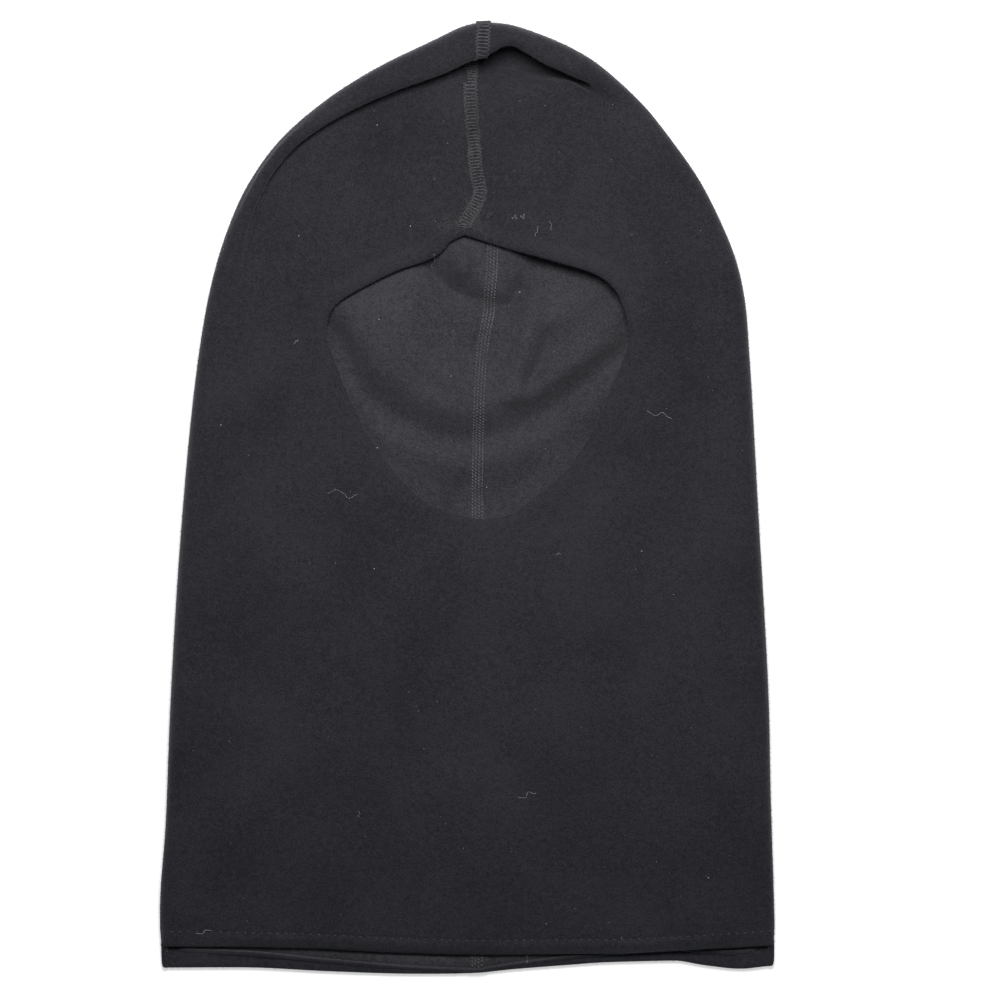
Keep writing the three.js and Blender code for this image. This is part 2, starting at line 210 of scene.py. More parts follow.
# The rolled crown. Each list is keyed by the distance from the seam round the outline,
# negative on the wearer's right.
roll = {
    "strength": [(-250, 0), (-205, 0.12), (-170, 0.34), (-145, 0.65), (-122, 0.95), (-108, 1), (50, 1),
                 (66, 0.5), (88, 0)],
    "reach": [(-178, 10.4), (-161, 10.2), (-143, 9), (-125, 7.7), (-112, 7), (-100, 7.2), (-85, 8.4),
              (-62, 11.4), (-43, 13.8), (-22, 16.2), (-6, 16.6), (1, 16), (7, 13.4), (12, 10.2), (18, 8.4),
              (26, 9.6), (36, 11), (48, 10.4), (60, 9), (75, 8.5)],
    "top": [(-235, 13.2), (-160, 15), (-110, 17.5), (-60, 20), (0, 22.4), (30, 21), (60, 17), (90, 13.5)],
    "overhang": [(-178, 0.8), (-130, 1), (-110, 2.4), (-70, 5), (-30, 8.5), (2, 9), (12, 5), (22, 4.4),
                 (40, 4.4), (52, 2.5), (70, 1)],
    "crease": [(-178, 15), (-140, 12.5), (-110, 10), (-60, 13), (-28, 17.5), (-16, 18.5), (-8, 22), (0, 26.4),
               (10, 25.4), (21, 23.4), (32, 20.6), (43, 17), (54, 13.6), (75, 12)],
    "floor": [(-178, 11.2), (-140, 10.8), (-110, 10.4), (-60, 10.2), (-25, 9.2), (0, 6.6), (14, 4.2),
              (40, 4.2), (56, 7), (80, 11.5)],
    "depth": [(-300, 13), (-200, 16), (-178, 19), (-140, 16.5), (-110, 14.5), (-60, 18), (-20, 24), (0, 30.5),
              (12, 29), (32, 24.5), (51, 18.5), (75, 15.5), (140, 13)],
}

# Sideways place of the sewn seam, from its own straight line
seamShift = {
    "back": [(-205, 1.8), (-10, 1.9), (19, 2.1), (40, 2.6), (62, 4), (84, 7.2), (108, 8.4), (160, 7),
             (204, 4.4)],
    "rim": [(0, 4.4), (0.3, 4.6), (0.42, 3.8), (0.55, 1.4), (0.7, -0.2), (1, -1.4)],
    "front": [(112, -2.4), (117, -0.6), (124, 2.4), (130, 3.1), (138.5, 1.5), (147, 0.6), (153.5, 0),
              (166, -0.7), (175, -1.2)],
    "fade": 55,                                    # how far to each side the cloth follows it
}

# Lower edges of the back and the front, above the lowest point, by share of half the width
hemEdge = {
    "back": [(-1, 2.2), (-0.72, 2.6), (-0.45, 1.3), (-0.2, 0.6), (-0.06, 0.8), (0.04, 1.4), (0.14, 2.6),
             (0.32, 4.2), (0.45, 5.2), (0.67, 5.6), (0.77, 3.5), (0.89, 1.8), (1, 3)],
    "front": [(-1, 11.5), (-0.55, 10.5), (-0.22, 8.5), (0.07, 7.6), (0.3, 8), (0.5, 8.2), (0.69, 9.5),
              (0.81, 10.5), (1, 11.8)],
}

halfWidth = (wholeHigh[0] - wholeLow[0]) / 2
hemY, crownY = wholeLow[1], wholeHigh[1]
length = crownY - hemY
openingCentre = (faceHemLow[:2] + faceHemHigh[:2]) / 2
openingHalf = (faceHemHigh[:2] - faceHemLow[:2]) / 2 - cloth["hemDepth"]
half = cloth["thickness"] / 2
halfHem = cloth["hemThickness"] / 2
turn = cloth["foldRadius"]


def outlineLine(side):
    points = [(side * a * halfWidth, hemY + b * length) for a, b in outline[side]]
    return smoothLine(points + [(cloth["seamX"], crownY - cloth["crownDrop"])])


def openingHalfLine(side):                         # from the chin up to the top of the opening
    shares = opening[side] if side > 0 else opening[side][::-1]
    points = [opening["chin"], *shares, opening["top"]]
    return smoothLine([openingCentre + openingHalf * np.array(p) for p in points])


openingLoop = np.vstack([openingHalfLine(-1), openingHalfLine(1)[::-1][1:]])
openingCount = len(openingHalfLine(-1))
rightLength = distancesAlong(openingLoop)[openingCount - 1]
loopLength = distancesAlong(openingLoop)[-1]


def insideOpening(x, y):
    inside = np.zeros(x.shape, bool)
    loop = openingLoop
    for a, b in zip(loop, np.roll(loop, -1, axis=0)):
        crosses = (a[1] > y) != (b[1] > y)
        at = a[0] + (y - a[1]) / (b[1] - a[1] if b[1] != a[1] else 1e-9) * (b[0] - a[0])
        inside ^= crosses & (x < at)
    return inside


def openingFacts(x, y):                            # distance to the edge, and the height the edge lies at
    dist, share, _ = nearestOn(openingLoop, x, y)
    onRight = share * loopLength < rightLength
    upRight = share * loopLength / rightLength
    upLeft = (1 - share) * loopLength / (loopLength - rightLength)
    height = np.where(onRight, eased(opening["height"], upRight), eased(opening["heightLeft"], upLeft))
    return np.where(insideOpening(x, y), -dist, dist), height


front = {
    "rest": 10.0,                                  # height of the middle
    "swell": 0.5, "smallSwell": 0.35, "cheekSwell": 0.7,
    "neck": 7.0,                                   # the neck lies lower
    "neckLeft": 1.3,
    "faceRidge": 0.85,                             # the turned hem round the opening
    "faceRound": 0.45,
    "faceDip": 0.12,                               # along its stitches
    "neckPress": 2.0,                              # the neck edge is pressed down on the back
    "neckRidge": 0.35,
    "neckDip": 0.2,
}


def frontSurface(x, y, aboveHem):
    dist, edge = openingFacts(x, y)
    lie = front["rest"] + front["swell"] * np.sin(x / 31 + 1.0) * np.cos(y / 47 - 0.4)
    lie = lie + front["smallSwell"] * np.sin((x + 0.8 * y) / 24)
    lie = lie + front["cheekSwell"] * np.exp(-((x - 0.55 * y - 62) / 17) ** 2) * smooth(60, 0, y)
    neck = front["neck"] + front["neckLeft"] * smooth(80, 110, x)
    lie = lie + (neck - lie) * smooth(70, 6, aboveHem)
    z = lie + (edge - lie) * np.exp(-(np.maximum(dist, 0) / 24) ** 1.4)
    out = np.maximum(dist, 0)
    z = z + front["faceRidge"] * smooth(0, 3, out) * smooth(8.4, 5.4, out)
    z = z - front["faceRound"] * smooth(1.4, 0, out)
    z = z - front["faceDip"] * np.exp(-((out - cloth["faceStitch"]) / 0.6) ** 2)
    z = z - front["neckPress"] * smooth(4.6, 0.4, aboveHem)
    z = z + front["neckRidge"] * smooth(1.2, 3, aboveHem) * smooth(6.6, 4.6, aboveHem)
    return z - front["neckDip"] * np.exp(-((aboveHem - cloth["hemStitch"]) / 0.6) ** 2)


back = {                                           # its soft folds are seen through the opening
    "valley": [(-66, 72), (-58, 64), (-42, 46), (-28, 35), (-10, 27.5), (5, 27), (22, 33), (40, 44), (58, 57),
               (72, 70)],
    "above": 8.4,                                  # rise on the crown's side of the valley
    "aboveFall": 1.8,
    "ridge": 4.2,                                  # and on the hem's side
    "ridgeAt": -10.5,
    "seamRise": 0.5,                               # room for the cover thread beneath
    "hemRise": 1.5,
    "stitchRise": 0.3,
    "clear": 0.15,                                 # under the hem of the opening
    "clearEdge": 1.1,
    "folds": [                                     # line, height and half width
        ([(-33, 80), (-27, 68), (-17, 57), (-9, 50)], 1.4, 3.0),
        ([(28, 82), (25, 66), (21, 52), (19, 43)], 2.4, 3.0),
        ([(19, 43), (27, 44), (40, 53), (66, 70)], 2.4, 2.8),
        ([(35, 70), (31, 58), (27, 50)], -3.6, 3.4),
        ([(60, 84), (50, 74), (38, 64)], -3.0, 6),
        ([(-62, 82), (-59, 73), (-54, 62)], -6.0, 6.5),
        ([(-3.6, 104.5), (-2.2, 98)], 4.6, 3.4),
        ([(-16, 98), (-9, 90), (4, 84), (17, 82), (22, 89)], -5.6, 5),
        ([(30, 101), (50, 95), (63, 87), (70, 74)], -6.0, 7.5),
        ([(-14, -7), (-8, 4), (-6, 13)], 2.2, 3.0),
        ([(-7, -8), (0, 4)], -1.2, 4),
        ([(24, -2), (36, 8), (46, 20)], 1.0, 5),
    ],
}


def backSurface(x, y, aboveHem):
    dist, edge = openingFacts(x, y)
    away, _, sign = nearestOn(smoothLine(back["valley"], 6), x, y)
    above = away * sign
    lift = back["above"] * smooth(-4.5, 13, above) - back["aboveFall"] * smooth(18, 40, above)
    fromRidge = above - back["ridgeAt"]
    lift = lift + back["ridge"] * np.exp(-(fromRidge / np.where(fromRidge < 0, 9, 4.8)) ** 2)
    for points, height, width in back["folds"]:
        near, _, _ = nearestOn(smoothLine(points, 5), x, y)
        lift = lift + height * np.exp(-(near / width) ** 2)
    room = edge - 2 * turn - halfHem - 2 * half - back["clear"] + 0.5 * np.maximum(-dist, 0)
    room = room - back["clearEdge"] * smooth(-6, -0.5, dist)
    lift = np.minimum(np.maximum(lift, 0), np.maximum(room, 0)) * smooth(34, 4, dist)
    aside = np.abs(x - cloth["seamX"] - eased(seamShift["back"], y))
    rise = back["seamRise"] * smooth(4.6, 3.2, aside) * smooth(2.5, 1, lift)
    lift = lift + back["hemRise"] * smooth(6.8, 8.6, aboveHem) * smooth(30, 13, aboveHem)
    return half + lift + rise + back["stitchRise"] * np.exp(-((aboveHem - cloth["hemStitch"]) / 0.6) ** 2)


# The cloth's middle surface is a grid for each half.
ribs = {
    "chin": 176,                                   # along the outline, where the ribs reach the chin
    "top": 78,                                     # and the top of the opening, from the crown
    "foreheadTop": 152,                            # the ribs at the crown end here, on the seam
    "napeTop": 118,                                # and here on the back
    "climb": [(0, 0), (120, 120), (240, 222), (330, 280)],      # how they meet the back's seam
    "steadier": 14,                                # rounds of smoothing of their directions
    "lean": 0.8,
}

hemRows = np.array([turn + halfHem, 2.3, 3.1, 4.0, 4.9, 5.8, 6.4, 6.9, 7.4, 8.0, 9.0, 10.6, 13])
crownRows = np.array([4.4, 3.3, 2.5, 1.7, 0.85, 0])
rightTotal = distancesAlong(outlineLine(-1))[-1]
middleRows = int(round((rightTotal - hemRows[-1] - crownRows[0]) / cloth["rows"])) - 1
lastRow = len(hemRows) + middleRows + len(crownRows) - 1


def rowDistances(total):
    middle = np.linspace(hemRows[-1], total - crownRows[0], middleRows + 2)[1:-1]
    return np.concatenate([hemRows, middle, total - crownRows])


aboveEdge = rowDistances(rightTotal)               # the same row is as far up on both sides
chinRow = int(np.argmin(abs(aboveEdge - ribs["chin"])))
topRow = int(np.argmin(abs(aboveEdge - (rightTotal - ribs["top"]))))


def innerEnds(side):                               # where each rib of the front ends
    chin = openingHalfLine(side)[0]
    top = openingHalfLine(side)[-1]
    rows = np.arange(lastRow + 1)
    ends = np.zeros((lastRow + 1, 2))
    below = rows <= chinRow
    fine = len(hemRows) - 1
    k = (rows[below] - fine) / (chinRow - fine)
    climb = hemRows[-1] + k * (chin[1] - turn - halfHem - hemY - hemRows[-1])
    ends[below, 1] = hemY + np.where(rows[below] <= fine, aboveEdge[below], climb)
    ends[below, 0] = chin[0]
    line = openingHalfLine(side)
    outward = unit(np.gradient(line, axis=0))
    outward = np.stack([outward[:, 1] * side, -outward[:, 0] * side], axis=-1)
    outward[0] = (0, -1)
    outward[-1] = (0, 1)
    ring = line + outward * (turn + halfHem)
    share = (rows[chinRow:topRow + 1] - chinRow) / (topRow - chinRow)
    ends[chinRow:topRow + 1] = pointsAt(ring, distancesAlong(ring)[-1] * share)
    above = (rows[topRow:] - topRow) / (lastRow - topRow)
    ends[topRow:, 0] = top[0] + (cloth["seamX"] - top[0]) * smooth(0, 0.5, above)
    ends[topRow:, 1] = top[1] + turn + halfHem + above * (ribs["foreheadTop"] - top[1] - turn - halfHem)
    return ends


def backEnds():
    climb = eased(ribs["climb"] + [(aboveEdge[-1], ribs["napeTop"] - hemY)], aboveEdge)
    return np.stack([np.full(lastRow + 1, cloth["seamX"]), hemY + climb], axis=-1)


def ribDirections(side, line, distances):
    step = 1.0
    total = distancesAlong(line)[-1]
    ahead = pointsAt(line, np.minimum(distances + step, total))
    behind = pointsAt(line, np.maximum(distances - step, 0))
    along = unit(ahead - behind)
    angle = np.unwrap(np.arctan2(side * along[:, 0], -side * along[:, 1]))
    angle[0] = math.pi if side > 0 else 0
    if side > 0:
        angle = np.where(angle < 0, angle + 2 * math.pi, angle)
    angle[-1] = -math.pi / 2 if side < 0 else 1.5 * math.pi
    angle = steadied(angle, ribs["steadier"])
    across = np.cos(angle)                         # ribs lean towards the seam, but don't cross it
    place = pointsAt(line, distances)
    deepest = max(depth for _, depth in roll["depth"])
    most = ribs["lean"] * side * (place[:, 0] - cloth["seamX"]) / deepest
    across = np.where(-side * across > most, -side * most, across)
    return np.stack([across, np.where(angle == angle[0], 0, -np.sqrt(1 - across ** 2))], axis=-1)


def rimControls(q, aboveHem):                      # (distance in, height) points of each rib's rim
    get = {name: eased(keys, q) for name, keys in roll.items()}
    front = eased(cloth["frontHeight"], aboveHem)
    top, floor, crease, depth = get["top"], get["floor"], get["crease"], get["depth"]
    e = get["reach"] - half
    over = np.clip(np.minimum(get["overhang"], e - 3.3), 0.6, None)
    root = e - over
    one = np.ones(q.shape)
    drop = np.minimum(1, (top - floor - 0.4) / 5.4)
    rolled = [
        (7.6 * one, half * one), (5.2 * one, half * one), (2.5 * one, 2.8 * one), (1.05 * one, 7 * one),
        (1.1 * one, 0.4 * 7 + 0.6 * (top - 1)), (np.minimum(2.4, 0.3 * e + 0.4), top - 2.4 * drop),
        (np.minimum(4.6, 0.6 * e - 0.6), top - 0.4), (e - 2.1, top), (e - 0.5, top - 0.8 * drop),
        (e, top - 2.1 * drop), (e - 0.45, top - 3.5 * drop), (e - 0.3 * over - 0.3, top - 4.2 * drop),
        (root + 0.12 * over + 0.15, top - 4.9 * drop), (root, (top - 5 * drop + floor) / 2),
        (root + 1.5, floor + 0.2), (root + 0.55 * (crease - root), floor),
        (crease - 1.6, floor + 0.75 * (front - floor)), (crease + 0.5, front - 0.1), (depth, front),
    ]
    radius = (front - half) / 2
    turns = np.radians([-90, -112, -135, -158, -180, -202, -225, -248, -268])
    plain = [(7.6 * one, half * one)]
    plain += [(half + radius * (1 + math.cos(t)), half + radius * (1 + math.sin(t))) for t in turns]
    start = half + radius + 0.3
    plain += [(start + (depth - start) * k / 9, front) for k in range(1, 10)]
    share = get["strength"][:, None, None]
    rolled = np.stack([np.stack(p, -1) for p in rolled], 1)
    plain = np.stack([np.stack(p, -1) for p in plain], 1)
    return plain + (rolled - plain) * share


def spread(fine, count):                           # 0 to 1, with fixed short steps first, by the rib's length
    def shares(lengths):
        near = np.array(fine)[None, :] / lengths[:, None]
        rest = np.linspace(0, 1, count - len(fine) + 1)[None, 1:]
        return np.concatenate([near, near[:, -1:] + (1 - near[:, -1:]) * rest], axis=1)
    return shares


backShares = spread([0, 0.9, 1.8, 2.7, 3.6, 4.6], cloth["acrossBack"])
frontShares = spread([0, 0.9, 1.8, 3, 4.2, 5.2, 6, 6.8, 7.8], cloth["acrossFront"])


def halfGrid(side):
    line = outlineLine(side)
    total = distancesAlong(line)[-1]
    distances = rowDistances(total)
    place = pointsAt(line, distances)
    inward = ribDirections(side, line, distances)
    q = side * (total - distances)
    rim = np.array([smoothLine(c, cloth["acrossRim"]) for c in rimControls(q, aboveEdge)])
    rimXY = place[:, None, :] + inward[:, None, :] * rim[..., :1]
    rimZ = rim[..., 1]

    start = backEnds()
    lengths = np.linalg.norm(rimXY[:, 0] - start, axis=1)
    shares = backShares(lengths)[..., None]
    backXY = start[:, None] + (rimXY[:, :1] - start[:, None]) * shares
    backXY = backXY[:, :-1]

    ends = innerEnds(side)
    lengths = np.linalg.norm(rimXY[:, -1] - ends, axis=1)
    shares = frontShares(lengths)[:, ::-1, None]
    frontXY = ends[:, None] + (rimXY[:, -1:] - ends[:, None]) * shares
    frontXY = frontXY[:, 1:]

    xy = np.concatenate([backXY, rimXY, frontXY], axis=1)
    toRim = backXY.shape[1]
    toFront = toRim + rimXY.shape[1]
    part = np.concatenate([np.zeros(toRim), np.linspace(0, 1, toFront - toRim), np.ones(frontXY.shape[1])])

    # the sewn seam isn't straight, and the cloth beside it follows
    away = np.abs(xy[..., 0] - cloth["seamX"])
    backBy = eased(seamShift["back"], xy[..., 1])
    rimBy = np.broadcast_to(eased(seamShift["rim"], part)[None], away.shape)
    frontBy = eased(seamShift["front"], xy[..., 1])
    late = smooth(0.72, 1, part)[None]
    shift = np.where(part[None] <= 0, backBy, rimBy * (1 - late) + frontBy * late)
    fade = np.exp(-(away / seamShift["fade"]) ** 2)
    inner = np.where(part[None] >= 1, smooth(112, 124, xy[..., 1]), 1)
    xy = xy.copy()
    xy[..., 0] += shift * fade * inner

    aboveHem = np.broadcast_to(aboveEdge[:, None], away.shape)
    z = np.zeros(away.shape)
    z[:, :toRim] = backSurface(xy[:, :toRim, 0], xy[:, :toRim, 1], aboveHem[:, :toRim])
    z[:, toRim:toFront] = rimZ
    frontZ = frontSurface(xy[:, toFront:, 0], xy[:, toFront:, 1], aboveHem[:, toFront:])
    fromRim = np.linalg.norm(xy[:, toFront:] - xy[:, toFront - 1:toFront], axis=-1)
    rimHeight = rimZ[:, -1:]
    z[:, toFront:] = rimHeight + (frontZ - rimHeight) * smooth(0, 26, fromRim)
    seamGroove = 0.4 * smooth(4.2, 3.0, np.abs(xy[:, toFront:, 0] - xy[:, -1:, 0]))
    seamGroove[:topRow + 2] = 0
    z[:, toFront:] -= seamGroove

    # the two lower edges
    thin = np.minimum(smooth(7, 14, aboveHem), 1)
    dist, _ = openingFacts(xy[..., 0], xy[..., 1])
    thin = np.where(part[None] >= 1, np.minimum(thin, smooth(6, 12, dist)), thin)
    halves = halfHem + (half - halfHem) * thin
    z = np.where(part[None] < 1, z - (half - halves) * smooth(1, 0.4, part)[None], z)
    across = xy[..., 0] / halfWidth
    ofFront = smooth(0.2, 0.36, part)[None]
    edge = eased(hemEdge["back"], across) * (1 - ofFront) + eased(hemEdge["front"], across) * ofFront
    xy[..., 1] += edge * smooth(120, 9, aboveHem)
    return np.concatenate([xy, z[..., None], halves[..., None]], axis=-1)


grids = {side: halfGrid(side) for side in (-1, 1)}
acrossLast = grids[1].shape[1] - 1
print("cloth grid", grids[1].shape, "chin row", chinRow, "top row", topRow)


class Surface:                                     # shared points and quads of the cloth's middle
    def __init__(self):
        self.points = []
        self.faces = []

    def add(self, point):
        self.points.append(point)
        return len(self.points) - 1


cover = Surface()
index = {}
for side in (-1, 1):
    grid = grids[side]
    ids = np.zeros(grid.shape[:2], int)
    for i in range(lastRow + 1):
        for j in range(acrossLast + 1):
            shared = j == 0 or i == lastRow or (j == acrossLast and (i <= chinRow or i >= topRow))
            if side > 0 and shared:
                ids[i, j] = index[-1][i, j]
            else:
                ids[i, j] = cover.add(grid[i, j])
    index[side] = ids
    for i in range(lastRow):
        for j in range(acrossLast):
            quad = [ids[i, j], ids[i, j + 1], ids[i + 1, j + 1], ids[i + 1, j]]
            cover.faces.append(quad if side < 0 else quad[::-1])


def pointNormals(points, faces):
    p = points[faces]
    n = np.cross(p[:, 2] - p[:, 0], p[:, 3] - p[:, 1])
    normals = np.zeros_like(points)
    for k in range(4):
        np.add.at(normals, faces[:, k], n)
    return unit(normals)


points = np.array(cover.points)[:, :3]
normals = pointNormals(points, np.array(cover.faces))
backMiddle = index[-1][lastRow // 3, 20]           # the outside of the back faces down
if normals[backMiddle][2] > 0:
    cover.faces = [f[::-1] for f in cover.faces]
    normals = -normals

strips = []
hemTurn = 5                                        # steps round a turned edge


def wholeRow(i):                                   # a row of points all the way round the neck
    return list(index[-1][i][::-1]) + list(index[1][i][1:])


def addStrip(loop, rows):                          # a closed ring of cloth that carries on from a loop
    ids = [loop] + [[cover.add((*p, halfHem)) for p in row] for row in rows]
    for a, b in zip(ids, ids[1:]):
        for k in range(len(loop)):
            after = (k + 1) % len(loop)
            strips.append([a[k], a[after], b[after], b[k]])
    return ids


# turned neck hem: round the lower edge and up inside
hemLoop = wholeRow(0)
edgePoints, edgeNormals = points[hemLoop], normals[hemLoop]
down = unit(edgePoints - points[wholeRow(1)])
rows = []
for k in range(1, hemTurn + 1):
    angle = math.pi * k / hemTurn
    rows.append(edgePoints + turn * (edgeNormals * (math.cos(angle) - 1) + down * math.sin(angle)))
insideRows = np.searchsorted(hemRows, cloth["neckAllowance"])
for i in range(1, insideRows + 1):
    rows.append(points[wholeRow(i)] - 2 * turn * normals[wholeRow(i)])
hemIds = addStrip(hemLoop[:-1], [r[:-1] for r in rows])

# turned face hem: round the edge of the opening and outwards beneath
faceLoop = list(index[-1][chinRow:topRow + 1, acrossLast])
faceLoop = faceLoop + list(index[1][chinRow:topRow + 1, acrossLast][::-1][1:-1])
edge = points[faceLoop]
tangent = unit(np.roll(edge, -1, axis=0)[:, :2] - np.roll(edge, 1, axis=0)[:, :2])
outward = np.stack([-tangent[:, 1], tangent[:, 0]], axis=-1)
if (outward * (edge[:, :2] - openingCentre)).sum() < 0:
    outward = -outward
rows = []
for k in range(1, hemTurn + 1):
    angle = math.pi * k / hemTurn
    row = edge.copy()
    row[:, :2] -= outward * turn * math.sin(angle)
    row[:, 2] += turn * (math.cos(angle) - 1)
    rows.append(row)
farFromHem = np.full(len(edge), 100.0)
lift = edge[:, 2] - frontSurface(edge[:, 0], edge[:, 1], farFromHem)
for d in np.linspace(1.0, cloth["hemDepth"] - turn - halfHem, 5):
    row = edge.copy()
    row[:, :2] += outward * d
    flat = frontSurface(row[:, 0], row[:, 1], farFromHem)
    row[:, 2] = np.minimum(flat + lift - 2 * turn, row[:, 2] + 3 - 2 * turn) - 0.15
    rows.append(row)
addStrip(faceLoop, rows)


def agrees(strip, faces):                          # a strip faces the same way as the cloth it continues
    edges = {(a, b) for f in faces for a, b in zip(f, f[1:] + f[:1])}
    return (strip[1], strip[0]) in edges


hemQuads = (len(hemIds) - 1) * len(hemIds[0])
faces = [list(map(int, f)) for f in cover.faces]
for part in (strips[:hemQuads], strips[hemQuads:]):
    part = [list(map(int, f)) for f in part]
    part = part if agrees(part[0], faces) else [f[::-1] for f in part]
    faces = faces + part
points, halves = np.array(cover.points)[:, :3], np.array(cover.points)[:, 3:]
faceArray = np.array(faces)
normals = pointNormals(points, faceArray)


def newObject(name, verts, faceList, slotName, shadeSmooth=True):
    mesh = bpy.data.meshes.new(name)
    mesh.from_pydata((np.asarray(verts) * mm).tolist(), [], faceList)
    mesh.update()
    if shadeSmooth:
        mesh.shade_smooth()
    thing = bpy.data.objects.new(name, mesh)
    bpy.context.scene.collection.objects.link(thing)
    return thing


def thicken(points, normals, halves, faces):       # outer and inner skins, closed at the raw edges
    count = len(points)
    verts = np.vstack([points + normals * halves, points - normals * halves])
    allFaces = list(faces) + [[v + count for v in reversed(f)] for f in faces]
    edgeUse = {}
    for f in faces:
        for a, b in zip(f, f[1:] + f[:1]):
            edgeUse[(a, b)] = True
    rim = [[b, a, a + count, b + count] for (a, b) in edgeUse if (b, a) not in edgeUse]
    return verts, allFaces + rim, len(faces)


verts, allFaces, outerCount = thicken(points, normals, halves, faces)
balaclava = newObject("fleece_balaclava", verts, allFaces, "fleece")
print("cloth", len(verts), "points", len(allFaces), "faces")


class Wire:                                        # a socket's value, with arithmetic
    def __init__(self, shader, socket):
        self.shader = shader
        self.socket = socket

    def math(self, operation, first, second):
        return self.shader.add("ShaderNodeMath", {"operation": operation}, {0: first, 1: second})

    def __add__(self, other):
        return self.math("ADD", self, other)

    def __sub__(self, other):
        return self.math("SUBTRACT", self, other)

    def __rsub__(self, other):
        return self.math("SUBTRACT", other, self)

    def __mul__(self, other):
        return self.math("MULTIPLY", self, other)

    __radd__ = __add__
    __rmul__ = __mul__


class Shader:                                      # one material, with its nodes
    def __init__(self, name, **surface):
        self.material = bpy.data.materials.new(name)
        self.material.use_nodes = True
        self.tree = self.material.node_tree
        self.principled = self.tree.nodes["Principled BSDF"]
        for socket, value in surface.items():
            self.set(socket.replace("_", " "), value)

    def set(self, socket, value):
        target = self.principled.inputs[socket]
        if isinstance(value, Wire):
            self.tree.links.new(value.socket, target)
        else:
            target.default_value = value

    def add(self, kind, settings, sockets, output=0):
        node = self.tree.nodes.new(kind)
        for key, value in settings.items():
            setattr(node, key, value)
        for key, value in sockets.items():
            if isinstance(value, Wire):
                self.tree.links.new(value.socket, node.inputs[key])
            else:
                node.inputs[key].default_value = value
        return Wire(self, node.outputs[output])

    def place(self):
        return self.add("ShaderNodeTexCoord", {}, {}, "Object")

    def noise(self, where, size, detail=2.0, roughness=0.5):
        return self.add("ShaderNodeTexNoise", {},
                        {"Vector": where, "Scale": 1 / (size * mm), "Detail": detail, "Roughness": roughness})

    def mix(self, share, a, b):
        return self.add("ShaderNodeMix", {"data_type": "RGBA"}, {"Factor": share, 6: a, 7: b}, 2)

    def bump(self, height, distance):
        return self.add("ShaderNodeBump", {}, {"Height": height, "Distance": distance * mm, "Strength": 1.0})

    def clamp(self, value, low, high):
        return self.add("ShaderNodeMapRange", {"interpolation_type": "SMOOTHSTEP"},
                        {"Value": value, "From Min": low, "From Max": high})


fleece = {
    "dark": (0.0165, 0.017, 0.0215, 1),
    "light": (0.036, 0.036, 0.043, 1),
    "insideDark": (0.027, 0.027, 0.032, 1),
    "insideLight": (0.058, 0.057, 0.066, 1),
    "pile": 0.75,                                  # size of the pile's grain
    "curl": 2.6,                                   # and of its clumps
    "wear": 34,                                    # and of its paler and darker patches
    "shares": (0.74, 0.22, 0.27),                  # of the three in the colour
    "faceRidgeHighlight": 0.032,                             # painted highlight: a lighter band along the ridge of the turned hem round the face
    "relief": 0.42,
    "sheen": 0.2,
}

threadColour = {                                   # darker and lighter strands
    "seam": ((0.06, 0.061, 0.068, 1), (0.13, 0.132, 0.146, 1)),
    "chain": ((0.07, 0.071, 0.08, 1), (0.165, 0.167, 0.184, 1)),
    "teased": ((0.06, 0.06, 0.065, 1), (0.125, 0.125, 0.134, 1)),
    "hem": ((0.055, 0.056, 0.064, 1), (0.13, 0.13, 0.145, 1)),
    "lint": ((0.22, 0.23, 0.25, 1), (0.6, 0.61, 0.65, 1)),
    "pile": ((0.03, 0.03, 0.035, 1), (0.075, 0.076, 0.085, 1)),
}


def fleeceMaterial(name, dark, light):
    shader = Shader(name, Roughness=1.0, Specular_IOR_Level=0.12, Sheen_Weight=fleece["sheen"],
                    Sheen_Roughness=0.45, Sheen_Tint=(0.75, 0.77, 0.85, 1))
    where = shader.place()
    pile = shader.noise(where, fleece["pile"], 3, 0.6)
    curl = shader.noise(where, fleece["curl"], 2, 0.55)
    wear = shader.noise(where, fleece["wear"], 3, 0.5)
    # painted highlight: this attribute lightens the colour along the ridge of the turned hem round the face
    ridgeHighlight = shader.add("ShaderNodeAttribute", {"attribute_name": "face_ridge_highlight"}, {}, 2)
    ofPile, ofCurl, ofWear = fleece["shares"]
    tone = pile * ofPile + curl * ofCurl + wear * ofWear + ridgeHighlight * fleece["faceRidgeHighlight"]
    shader.set("Base Color", shader.mix(shader.clamp(tone, 0.44, 0.8), dark, light))
    shader.set("Normal", shader.bump(pile * 0.6 + curl * 0.7, fleece["relief"]))
    return shader.material


def threadMaterial(name, colours):
    shader = Shader(name, Roughness=0.85, Specular_IOR_Level=0.2)
    where = shader.place()
    strand = shader.noise(where, 0.5, 3, 0.6)
    batch = shader.noise(where, 9, 2, 0.5)
    shader.set("Base Color", shader.mix(shader.clamp(strand * 0.6 + batch * 0.4, 0.35, 0.7), *colours))
    shader.set("Normal", shader.bump(strand, 0.06))
    return shader.material


fleeceOut = fleeceMaterial("fleece_outside", fleece["dark"], fleece["light"])
fleeceIn = fleeceMaterial("fleece_inside", fleece["insideDark"], fleece["insideLight"])
balaclava.data.materials.append(fleeceOut)
balaclava.data.materials.append(fleeceIn)
# painted highlight: a band along the ridge of the turned hem round the opening, on the front only
away = openingFacts(verts[:, 0], verts[:, 1])[0]
onFront = verts[:, 2] > 4.5
faceRidgeHighlight = balaclava.data.attributes.new("face_ridge_highlight", "FLOAT", "POINT")
faceRidgeHighlight.data.foreach_set("value", smooth(8.8, 6.4, away) * smooth(-0.4, 0.4, away) * onFront)
inner = np.zeros(len(balaclava.data.polygons), np.int32)
inner[outerCount:] = 1
balaclava.data.polygons.foreach_set("material_index", inner)

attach(balaclava, "root")
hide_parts("front_panel", "back_right", "back_left", "side_fold_right", "side_fold_left",
            "crown_right", "crown_left", "face_hem", "bottom_hem")
print("fleece laid and coloured")

